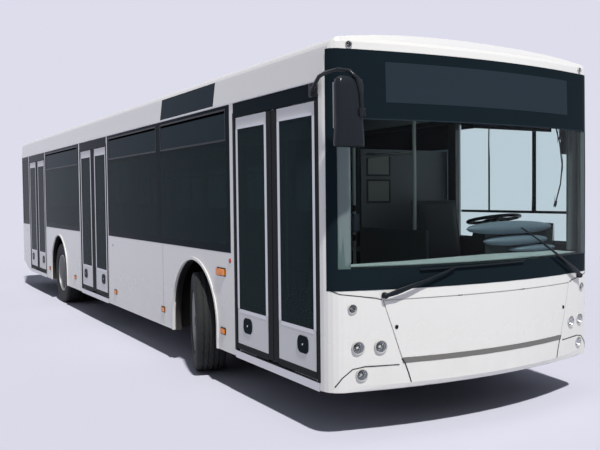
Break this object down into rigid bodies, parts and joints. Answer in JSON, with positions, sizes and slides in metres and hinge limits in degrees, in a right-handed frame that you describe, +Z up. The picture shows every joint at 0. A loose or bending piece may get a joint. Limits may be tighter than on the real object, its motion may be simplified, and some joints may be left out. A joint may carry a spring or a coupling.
{
  "type": "city bus",
  "caption": "Low-floor city bus, white, with tinted band windows, double inward-gliding doors on its right side and steered front wheels",
  "frame": {"origin": "on the ground under the middle of the bus's box", "axes": "+X towards the front, +Y towards the bus's left, +Z up"},
  "size_m": [12.042, 2.84, 2.86],
  "materials": {
    "body_white": "glossy white paint",
    "frame_black": "black chassis paint",
    "floor_vinyl": "speckled anti-slip covering",
    "inner_grey": "textured inner panel",
    "engine_iron": "rough casting",
    "screen_glass": "clear laminated glass",
    "tinted_glass": "dark tinted glass",
    "black_plastic": "grained black",
    "dash_plastic": "soft blue-grey",
    "lamp_clear": "clear lens over reflector",
    "lamp_amber": "amber lens",
    "lamp_red": "red lens",
    "driver_fabric": "woven dark cloth",
    "seat_plastic": "moulded shell",
    "rail_paint": "powder coat",
    "door_aluminium": "satin anodised",
    "steel": "machined",
    "rim_silver": "silver paint",
    "tyre_rubber": "matt rubber"
  },
  "bodies": {
    "root": {"floor": "floor_vinyl", "wheel_housings": "inner_grey", "underframe": "frame_black", "side_wall_left": "body_white", "side_wall_right": "body_white", "door_guides": "inner_grey", "roof": "body_white", "roof_hatches": "body_white", "rear_wall": "body_white", "engine_cover": "inner_grey", "engine": "engine_iron", "front_mask": "body_white", "windshield": "screen_glass", "side_glass": "tinted_glass", "front_display": "black_plastic", "side_display": "black_plastic", "front_lamps": "lamp_clear", "side_markers": "lamp_amber", "rear_lamps": "lamp_red", "dashboard": "dash_plastic", "driver_seat": "driver_fabric", "driver_partition": "inner_grey", "passenger_seats": "seat_plastic", "handrails": "rail_paint", "mirrors": "black_plastic", "wipers": "frame_black", "front_axle": "frame_black", "rear_axle": "frame_black"},
    "knuckle_left": {"knuckle_left": "steel"},
    "wheel_front_left": {"tyre_front_left": "tyre_rubber", "wheel_front_left": "rim_silver"},
    "wheel_rear_left": {"tyre_rear_left": "tyre_rubber", "wheel_rear_left": "rim_silver"},
    "knuckle_right": {"knuckle_right": "steel"},
    "wheel_front_right": {"tyre_front_right": "tyre_rubber", "wheel_front_right": "rim_silver"},
    "wheel_rear_right": {"tyre_rear_right": "tyre_rubber", "wheel_rear_right": "rim_silver"},
    "steering_wheel": {"steering_wheel": "black_plastic"},
    "front_flap": {"front_flap": "body_white"},
    "engine_hatch": {"engine_hatch": "body_white"},
    "arm_1_front": {"arm_1_front": "steel"},
    "leaf_1_front": {"leaf_1_front": "door_aluminium", "pane_1_front": "tinted_glass"},
    "arm_1_rear": {"arm_1_rear": "steel"},
    "leaf_1_rear": {"leaf_1_rear": "door_aluminium", "pane_1_rear": "tinted_glass"},
    "arm_2_front": {"arm_2_front": "steel"},
    "leaf_2_front": {"leaf_2_front": "door_aluminium", "pane_2_front": "tinted_glass"},
    "arm_2_rear": {"arm_2_rear": "steel"},
    "leaf_2_rear": {"leaf_2_rear": "door_aluminium", "pane_2_rear": "tinted_glass"},
    "arm_3_front": {"arm_3_front": "steel"},
    "leaf_3_front": {"leaf_3_front": "door_aluminium", "pane_3_front": "tinted_glass"},
    "arm_3_rear": {"arm_3_rear": "steel"},
    "leaf_3_rear": {"leaf_3_rear": "door_aluminium", "pane_3_rear": "tinted_glass"}
  },
  "joints": [
    {"name": "door_1_rear_arm", "type": "hinge", "parent": "root", "child": "arm_1_rear", "pos_m": [4.215, -1.254, 1.345], "axis": [0, 0, 1], "range_deg": [0, 84]},
    {"name": "door_1_rear_leaf", "type": "hinge", "parent": "arm_1_rear", "child": "leaf_1_rear", "pos_m": [4.5305, -1.254, 1.345], "axis": [0, 0, -1], "range_deg": [0, 168]},
    {"name": "door_1_front_arm", "type": "hinge", "parent": "root", "child": "arm_1_front", "pos_m": [5.505, -1.254, 1.345], "axis": [0, 0, -1], "range_deg": [0, 84]},
    {"name": "door_1_front_leaf", "type": "hinge", "parent": "arm_1_front", "child": "leaf_1_front", "pos_m": [5.1895, -1.254, 1.345], "axis": [0, 0, 1], "range_deg": [0, 168]},
    {"name": "door_2_rear_arm", "type": "hinge", "parent": "root", "child": "arm_2_rear", "pos_m": [-1.157, -1.254, 1.345], "axis": [0, 0, 1], "range_deg": [0, 84]},
    {"name": "door_2_rear_leaf", "type": "hinge", "parent": "arm_2_rear", "child": "leaf_2_rear", "pos_m": [-0.8415, -1.254, 1.345], "axis": [0, 0, -1], "range_deg": [0, 168]},
    {"name": "door_2_front_arm", "type": "hinge", "parent": "root", "child": "arm_2_front", "pos_m": [0.133, -1.254, 1.345], "axis": [0, 0, -1], "range_deg": [0, 84]},
    {"name": "door_2_front_leaf", "type": "hinge", "parent": "arm_2_front", "child": "leaf_2_front", "pos_m": [-0.1825, -1.254, 1.345], "axis": [0, 0, 1], "range_deg": [0, 168]},
    {"name": "door_3_rear_arm", "type": "hinge", "parent": "root", "child": "arm_3_rear", "pos_m": [-5.079, -1.254, 1.345], "axis": [0, 0, 1], "range_deg": [0, 84]},
    {"name": "door_3_rear_leaf", "type": "hinge", "parent": "arm_3_rear", "child": "leaf_3_rear", "pos_m": [-4.7635, -1.254, 1.345], "axis": [0, 0, -1], "range_deg": [0, 168]},
    {"name": "door_3_front_arm", "type": "hinge", "parent": "root", "child": "arm_3_front", "pos_m": [-3.789, -1.254, 1.345], "axis": [0, 0, -1], "range_deg": [0, 84]},
    {"name": "door_3_front_leaf", "type": "hinge", "parent": "arm_3_front", "child": "leaf_3_front", "pos_m": [-4.1045, -1.254, 1.345], "axis": [0, 0, 1], "range_deg": [0, 168]},
    {"name": "steer_right", "type": "hinge", "parent": "root", "child": "knuckle_right", "pos_m": [3.19, -0.985, 0.47], "axis": [0, 0, 1], "range_deg": [-25, 59]},
    {"name": "spin_front_right", "type": "hinge", "parent": "knuckle_right", "child": "wheel_front_right", "pos_m": [3.14761, -1.12366, 0.47], "axis": [0.2924, 0.9563, 0], "continuous": true},
    {"name": "spin_rear_right", "type": "hinge", "parent": "root", "child": "wheel_rear_right", "pos_m": [-2.7, -1.105, 0.47], "axis": [0, 1, 0], "continuous": true},
    {"name": "steer_left", "type": "hinge", "parent": "root", "child": "knuckle_left", "pos_m": [3.19, 0.985, 0.47], "axis": [0, 0, 1], "range_deg": [-25, 59]},
    {"name": "spin_front_left", "type": "hinge", "parent": "knuckle_left", "child": "wheel_front_left", "pos_m": [3.23239, 1.12366, 0.47], "axis": [0.2924, 0.9563, 0], "continuous": true},
    {"name": "spin_rear_left", "type": "hinge", "parent": "root", "child": "wheel_rear_left", "pos_m": [-2.7, 1.105, 0.47], "axis": [0, 1, 0], "continuous": true},
    {"name": "steering_wheel_turn", "type": "hinge", "parent": "root", "child": "steering_wheel", "pos_m": [5, 0.84, 1.435], "axis": [-0.1736, 0, 0.9848], "range_deg": [-450, 1062]},
    {"name": "front_flap_lift", "type": "hinge", "parent": "root", "child": "front_flap", "pos_m": [5.884, 0, 0.985], "axis": [0, -1, 0], "range_deg": [0, 80]},
    {"name": "engine_hatch_lift", "type": "hinge", "parent": "root", "child": "engine_hatch", "pos_m": [-6.015, 0, 1.335], "axis": [0, 1, 0], "range_deg": [0, 80]}
  ],
  "couplings": [
    {"joint": "door_1_rear_leaf", "follows": "door_1_rear_arm", "ratio": 2},
    {"joint": "door_1_front_arm", "follows": "door_1_rear_arm", "ratio": 1},
    {"joint": "door_1_front_leaf", "follows": "door_1_rear_arm", "ratio": 2},
    {"joint": "door_2_rear_leaf", "follows": "door_2_rear_arm", "ratio": 2},
    {"joint": "door_2_front_arm", "follows": "door_2_rear_arm", "ratio": 1},
    {"joint": "door_2_front_leaf", "follows": "door_2_rear_arm", "ratio": 2},
    {"joint": "door_3_rear_leaf", "follows": "door_3_rear_arm", "ratio": 2},
    {"joint": "door_3_front_arm", "follows": "door_3_rear_arm", "ratio": 1},
    {"joint": "door_3_front_leaf", "follows": "door_3_rear_arm", "ratio": 2},
    {"joint": "steer_left", "follows": "steer_right", "ratio": 1},
    {"joint": "steering_wheel_turn", "follows": "steer_right", "ratio": 18}
  ]
}
